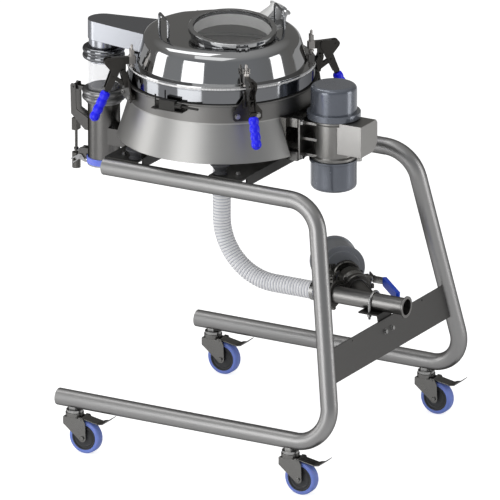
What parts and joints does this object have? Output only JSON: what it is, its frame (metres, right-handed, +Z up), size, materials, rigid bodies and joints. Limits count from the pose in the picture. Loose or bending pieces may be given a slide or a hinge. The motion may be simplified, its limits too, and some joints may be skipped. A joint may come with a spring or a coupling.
{
  "type": "vibratory check sifter",
  "caption": "Round vibratory sifter with a polished clamp-down lid on a castered tube trolley, with side motor, oversize chute and hose-fed outlet pipe.",
  "frame": {"origin": "on the floor under the middle of the machine's outline, in the plane through the sieve's axis", "axes": "+X along the trolley's rails towards the uprights and the outlet pipe, +Y across the trolley away from the front side of the picture, +Z up"},
  "size_m": [1.122, 0.8664, 1.2717],
  "materials": {
    "stainless": "brushed stainless sheet and tube",
    "polished": "mirror polished stainless",
    "dark_plate": "dark grey satin coated plate",
    "zinc": "zinc plated steel",
    "rubber": "black rubber",
    "sight_glass": "clear sight glass",
    "clear_plastic": "clear plastic sleeve",
    "seal_blue": "soft light blue silicone",
    "cast_alloy": "bead blasted cast aluminium",
    "motor_paint": "blue-grey hammered paint on castings",
    "hose_white": "white ribbed food hose",
    "valve_blue": "blue dipped plastic",
    "filter_paint": "grey cover over a black drum",
    "tyre_blue": "light blue-grey soft tyre on a black hub",
    "grip_blue": "bright blue plastic grip on a steel handle"
  },
  "bodies": {
    "trolley": {"side_frame_front": "stainless", "side_frame_back": "stainless", "cross_plate": "dark_plate", "sieve_beams": "dark_plate", "frame_bolts": "zinc", "caster_stems": "zinc", "isolators": "rubber", "drop_ring": "polished", "drop_tube": "stainless", "seal_ring": "seal_blue", "product_hose": "hose_white", "hose_fittings": "stainless", "outlet_pipe": "stainless", "pipe_bracket": "dark_plate", "u_bolt": "zinc", "pipe_clamps": "zinc", "valve_body": "stainless", "filter_drum": "filter_paint"},
    "sieve": {"sieve_base": "stainless", "motor_plate": "stainless", "middle_ring": "polished", "mesh_screen": "stainless", "lid": "polished", "viewport_band": "polished", "viewport_glass": "sight_glass", "lid_handles": "stainless", "clamp_brackets": "dark_plate", "lid_switch": "dark_plate", "sieve_bolts": "zinc", "oversize_chute": "stainless", "chute_collar": "polished", "clear_sleeve": "clear_plastic", "motor_body": "cast_alloy", "motor_caps": "motor_paint", "terminal_box": "cast_alloy"},
    "rotor": {"motor_rotor": "zinc"},
    "valve_lever": {"valve_lever": "stainless", "valve_grip": "valve_blue"},
    "drop_flap": {"drop_flap": "stainless"},
    "flap_link": {"flap_link": "stainless"},
    "fork_front_left": {"caster_fork_front_left": "zinc"},
    "wheel_front_left": {"caster_wheel_front_left": "tyre_blue"},
    "pedal_front_left": {"caster_pedal_front_left": "dark_plate"},
    "clamp_arm_front_left": {"clamp_arm_front_left": "dark_plate"},
    "clamp_handle_front_left": {"clamp_handle_front_left": "grip_blue"},
    "fork_front_right": {"caster_fork_front_right": "zinc"},
    "wheel_front_right": {"caster_wheel_front_right": "tyre_blue"},
    "pedal_front_right": {"caster_pedal_front_right": "dark_plate"},
    "clamp_arm_front_right": {"clamp_arm_front_right": "dark_plate"},
    "clamp_handle_front_right": {"clamp_handle_front_right": "grip_blue"},
    "fork_back_left": {"caster_fork_back_left": "zinc"},
    "wheel_back_left": {"caster_wheel_back_left": "tyre_blue"},
    "pedal_back_left": {"caster_pedal_back_left": "dark_plate"},
    "clamp_arm_back_left": {"clamp_arm_back_left": "dark_plate"},
    "clamp_handle_back_left": {"clamp_handle_back_left": "grip_blue"},
    "fork_back_right": {"caster_fork_back_right": "zinc"},
    "wheel_back_right": {"caster_wheel_back_right": "tyre_blue"},
    "pedal_back_right": {"caster_pedal_back_right": "dark_plate"},
    "clamp_arm_back_right": {"clamp_arm_back_right": "dark_plate"},
    "clamp_handle_back_right": {"clamp_handle_back_right": "grip_blue"}
  },
  "joints": [
    {"name": "sieve_bounce", "type": "slide", "parent": "trolley", "child": "sieve", "axis": [0, 0, 1], "range_m": [-0.002, 0.002], "stiffness_N_per_m": 400000, "springref_m": 0.0015, "deforming": ["isolators"]},
    {"name": "rotor_spin", "type": "hinge", "parent": "sieve", "child": "rotor", "pos_m": [0.317, 0, 0.9488], "axis": [0, 0, 1], "continuous": true},
    {"name": "swivel_front_left", "type": "hinge", "parent": "trolley", "child": "fork_front_left", "pos_m": [-0.319, -0.405, 0.112], "axis": [0, 0, 1], "continuous": true},
    {"name": "roll_front_left", "type": "hinge", "parent": "fork_front_left", "child": "wheel_front_left", "pos_m": [-0.281, -0.405, 0.05], "axis": [0, 1, 0], "continuous": true},
    {"name": "brake_front_left", "type": "hinge", "parent": "fork_front_left", "child": "pedal_front_left", "pos_m": [-0.2865, -0.405, 0.1075], "axis": [0, 1, 0], "range_deg": [0, 6]},
    {"name": "clamp_arm_front_left", "type": "hinge", "parent": "sieve", "child": "clamp_arm_front_left", "pos_m": [-0.26701, -0.21001, 1.1133], "axis": [0.7071, -0.7071, 0], "range_deg": [0, 70]},
    {"name": "clamp_handle_front_left", "type": "hinge", "parent": "clamp_arm_front_left", "child": "clamp_handle_front_left", "pos_m": [-0.29883, -0.24183, 1.1473], "axis": [0.7071, -0.7071, 0], "range_deg": [-151, 0]},
    {"name": "swivel_front_right", "type": "hinge", "parent": "trolley", "child": "fork_front_right", "pos_m": [0.403, -0.405, 0.112], "axis": [0, 0, 1], "continuous": true},
    {"name": "roll_front_right", "type": "hinge", "parent": "fork_front_right", "child": "wheel_front_right", "pos_m": [0.441, -0.405, 0.05], "axis": [0, 1, 0], "continuous": true},
    {"name": "brake_front_right", "type": "hinge", "parent": "fork_front_right", "child": "pedal_front_right", "pos_m": [0.4355, -0.405, 0.1075], "axis": [0, 1, 0], "range_deg": [0, 6]},
    {"name": "clamp_arm_front_right", "type": "hinge", "parent": "sieve", "child": "clamp_arm_front_right", "pos_m": [0.15301, -0.21001, 1.1133], "axis": [0.7071, 0.7071, 0], "range_deg": [0, 70]},
    {"name": "clamp_handle_front_right", "type": "hinge", "parent": "clamp_arm_front_right", "child": "clamp_handle_front_right", "pos_m": [0.18483, -0.24183, 1.1473], "axis": [0.7071, 0.7071, 0], "range_deg": [-151, 0]},
    {"name": "swivel_back_left", "type": "hinge", "parent": "trolley", "child": "fork_back_left", "pos_m": [-0.319, 0.405, 0.112], "axis": [0, 0, 1], "continuous": true},
    {"name": "roll_back_left", "type": "hinge", "parent": "fork_back_left", "child": "wheel_back_left", "pos_m": [-0.281, 0.405, 0.05], "axis": [0, 1, 0], "continuous": true},
    {"name": "brake_back_left", "type": "hinge", "parent": "fork_back_left", "child": "pedal_back_left", "pos_m": [-0.2865, 0.405, 0.1075], "axis": [0, 1, 0], "range_deg": [0, 6]},
    {"name": "clamp_arm_back_left", "type": "hinge", "parent": "sieve", "child": "clamp_arm_back_left", "pos_m": [-0.26701, 0.21001, 1.1133], "axis": [-0.7071, -0.7071, 0], "range_deg": [0, 70]},
    {"name": "clamp_handle_back_left", "type": "hinge", "parent": "clamp_arm_back_left", "child": "clamp_handle_back_left", "pos_m": [-0.29883, 0.24183, 1.1473], "axis": [-0.7071, -0.7071, 0], "range_deg": [-151, 0]},
    {"name": "swivel_back_right", "type": "hinge", "parent": "trolley", "child": "fork_back_right", "pos_m": [0.403, 0.405, 0.112], "axis": [0, 0, 1], "continuous": true},
    {"name": "roll_back_right", "type": "hinge", "parent": "fork_back_right", "child": "wheel_back_right", "pos_m": [0.441, 0.405, 0.05], "axis": [0, 1, 0], "continuous": true},
    {"name": "brake_back_right", "type": "hinge", "parent": "fork_back_right", "child": "pedal_back_right", "pos_m": [0.4355, 0.405, 0.1075], "axis": [0, 1, 0], "range_deg": [0, 6]},
    {"name": "clamp_arm_back_right", "type": "hinge", "parent": "sieve", "child": "clamp_arm_back_right", "pos_m": [0.15301, 0.21001, 1.1133], "axis": [-0.7071, 0.7071, 0], "range_deg": [0, 70]},
    {"name": "clamp_handle_back_right", "type": "hinge", "parent": "clamp_arm_back_right", "child": "clamp_handle_back_right", "pos_m": [0.18483, 0.24183, 1.1473], "axis": [-0.7071, 0.7071, 0], "range_deg": [-151, 0]},
    {"name": "valve_turn", "type": "hinge", "parent": "trolley", "child": "valve_lever", "pos_m": [0.30477, 0.13223, 0.469], "axis": [-0.7071, -0.7071, 0], "range_deg": [0, 90]},
    {"name": "flap_turn", "type": "hinge", "parent": "trolley", "child": "drop_flap", "pos_m": [-0.526, 0, 0.757], "axis": [0, 1, 0], "range_deg": [0, 50]},
    {"name": "link_slide", "type": "slide", "parent": "trolley", "child": "flap_link", "axis": [0, 0, 1], "range_m": [0, 0.0215]}
  ],
  "couplings": [
    {"joint": "clamp_handle_front_left", "follows": "clamp_arm_front_left", "ratio": -2.14},
    {"joint": "clamp_handle_front_right", "follows": "clamp_arm_front_right", "ratio": -2.14},
    {"joint": "clamp_handle_back_left", "follows": "clamp_arm_back_left", "ratio": -2.14},
    {"joint": "clamp_handle_back_right", "follows": "clamp_arm_back_right", "ratio": -2.14},
    {"joint": "link_slide", "follows": "flap_turn", "m_per_rad": 0.02447}
  ]
}
